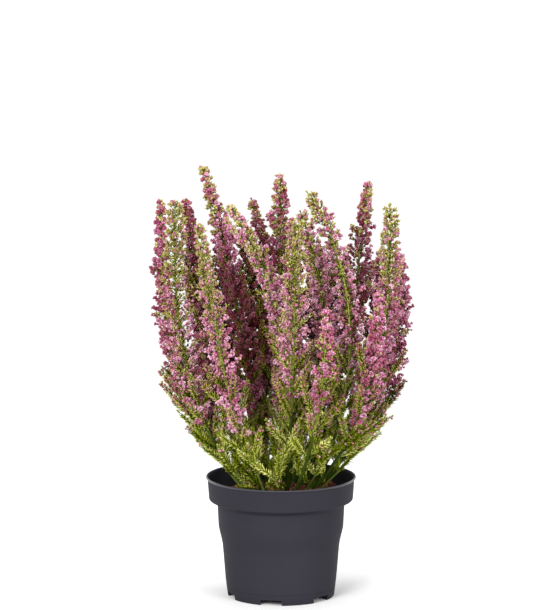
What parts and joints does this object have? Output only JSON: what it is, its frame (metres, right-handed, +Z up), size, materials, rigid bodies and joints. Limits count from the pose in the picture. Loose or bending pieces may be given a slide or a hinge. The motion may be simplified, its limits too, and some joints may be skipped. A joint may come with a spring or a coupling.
{
  "type": "potted heather",
  "caption": "Upright heather with dense pink flower spikes on leafy green stems, standing in soil in a round dark plastic nursery pot.",
  "frame": {"origin": "on the pot's axis at the level that the pot stands on, under the middle of the plant", "axes": "+Z up along the pot's axis, -Y towards the front, +X to the right"},
  "size_m": [0.208, 0.1822, 0.3469],
  "materials": {
    "pot": "satin",
    "soil": "matte",
    "stem": "satin",
    "leafy_shoot": "satin",
    "flowers_pink": "matte",
    "flowers_light": "matte",
    "flowers_dark": "matte",
    "flowers_green": "matte"
  },
  "bodies": {
    "root": {"pot": "pot", "soil": "soil", "stem_01": "stem", "flowers_01": "flowers_pink", "stem_02": "stem", "flowers_02": "flowers_green", "stem_03": "stem", "flowers_03": "flowers_dark", "stem_04": "stem", "flowers_04": "flowers_light", "stem_05": "stem", "flowers_05": "flowers_pink", "stem_06": "stem", "flowers_06": "flowers_light", "stem_07": "stem", "flowers_07": "flowers_dark", "stem_08": "stem", "flowers_08": "flowers_pink", "stem_09": "stem", "flowers_09": "flowers_green", "stem_10": "stem", "flowers_10": "flowers_green", "stem_11": "stem", "flowers_11": "flowers_light", "stem_12": "stem", "flowers_12": "flowers_dark", "stem_13": "stem", "flowers_13": "flowers_light", "stem_14": "stem", "flowers_14": "flowers_pink", "stem_15": "stem", "flowers_15": "flowers_dark", "stem_16": "stem", "flowers_16": "flowers_pink", "stem_17": "stem", "flowers_17": "flowers_pink", "stem_18": "stem", "flowers_18": "flowers_pink", "stem_19": "stem", "flowers_19": "flowers_pink", "stem_20": "stem", "flowers_20": "flowers_light", "stem_21": "stem", "flowers_21": "flowers_pink", "stem_22": "stem", "flowers_22": "flowers_dark", "stem_23": "stem", "flowers_23": "flowers_dark", "leafy_shoot_01": "leafy_shoot", "leafy_shoot_02": "leafy_shoot", "leafy_shoot_03": "leafy_shoot", "leafy_shoot_04": "leafy_shoot", "leafy_shoot_05": "leafy_shoot", "leafy_shoot_06": "leafy_shoot", "leafy_shoot_07": "leafy_shoot", "leafy_shoot_08": "leafy_shoot", "leafy_shoot_09": "leafy_shoot", "leafy_shoot_10": "leafy_shoot", "leafy_shoot_11": "leafy_shoot", "leafy_shoot_12": "leafy_shoot"}
  },
  "joints": []
}
